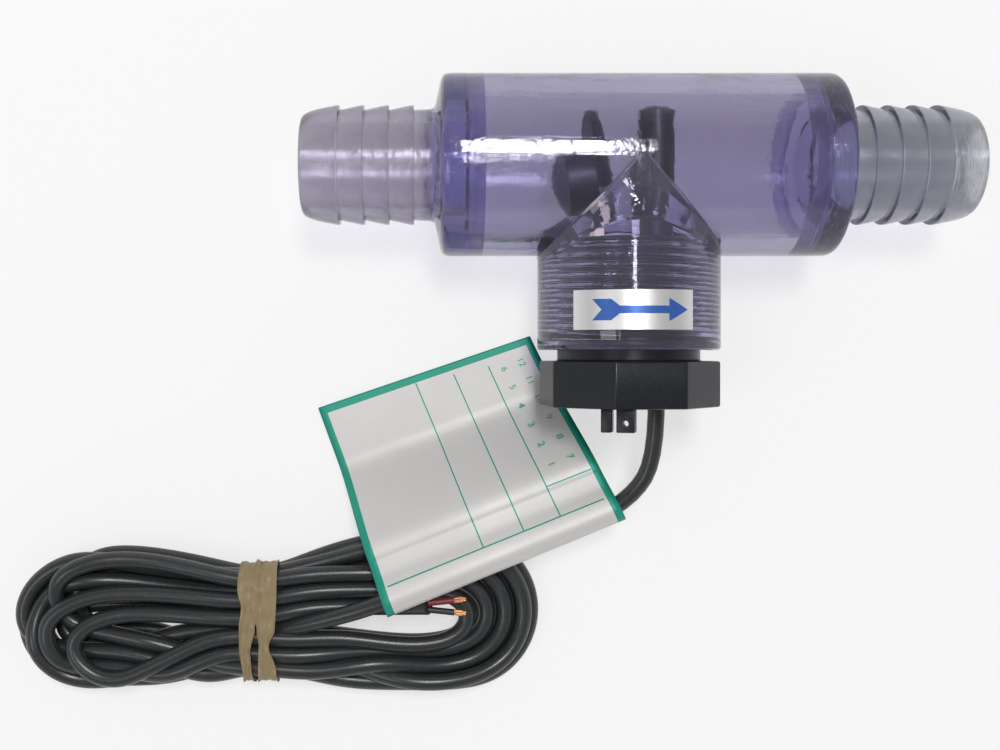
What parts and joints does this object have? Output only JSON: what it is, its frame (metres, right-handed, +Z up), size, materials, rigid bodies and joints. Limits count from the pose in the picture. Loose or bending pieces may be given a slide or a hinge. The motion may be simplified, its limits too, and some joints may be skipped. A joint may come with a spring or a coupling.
{
  "type": "paddle flow switch",
  "caption": "In-line paddle flow switch: clear pipe tee with hose barbs, sprung magnet paddle, reed switch plug and two-core cable.",
  "frame": {"origin": "bottom centre of the rigid part's box, on the surface it lies on; the cable, its hank and label aren't counted", "axes": "+X along the run tube with the flow, +Y from the plug to the run tube, +Z up"},
  "size_m": [0.182, 0.1165, 0.0335],
  "materials": {
    "clear_pvc": "clear PVC pipe with a faint violet tint, glossy",
    "frosted_pvc": "clear PVC, machined barbs slightly frosted, violet at the flange",
    "silver_sticker": "silver film with a plain blue arrow",
    "black_plug": "black moulded plastic, satin",
    "stem_plastic": "dark moulded plastic",
    "potting_resin": "black potting resin",
    "reed_glass": "greenish reed glass",
    "reed_metal": "plated nickel iron",
    "crimp_metal": "tinned crimp sleeve",
    "black_core": "black core insulation",
    "red_core": "red core insulation",
    "spring_strip": "cream polymer flexure strip",
    "paddle_plastic": "dark moulded plastic",
    "magnet_metal": "ceramic magnet, dark grey",
    "cap_plastic": "dark moulded plastic",
    "cable_jacket": "dark grey flexible PVC jacket, satin",
    "band_rubber": "tan rubber band",
    "label_film": "silver film with a teal border"
  },
  "bodies": {
    "housing": {"run_tube": "clear_pvc", "branch_neck": "clear_pvc", "inlet_fitting": "frosted_pvc", "outlet_fitting": "frosted_pvc", "flow_arrow_label": "silver_sticker", "plug_body": "black_plug", "reed_stem": "stem_plastic", "potting_fill": "potting_resin", "reed_glass": "reed_glass", "reed_blade_lower": "reed_metal", "reed_blade_upper": "reed_metal", "splice_lower": "crimp_metal", "splice_upper": "crimp_metal", "wire_black": "black_core", "wire_red": "red_core", "leaf_spring": "spring_strip", "spring_wedge": "black_plug", "cable_lead": "cable_jacket", "cable_hank": "cable_jacket", "hank_band": "band_rubber", "cable_label": "label_film", "tail_black": "black_core", "tail_red": "red_core"},
    "paddle": {"paddle_vane": "paddle_plastic", "paddle_magnet": "magnet_metal", "magnet_cap": "cap_plastic"}
  },
  "joints": [
    {"name": "paddle_swing", "type": "hinge", "parent": "housing", "child": "paddle", "pos_m": [-0.0065, 0.00565, 0.0167], "axis": [0, 0, -1], "range_deg": [0, 23], "stiffness_Nm_per_rad": 0.002, "deforming": ["leaf_spring"]}
  ]
}
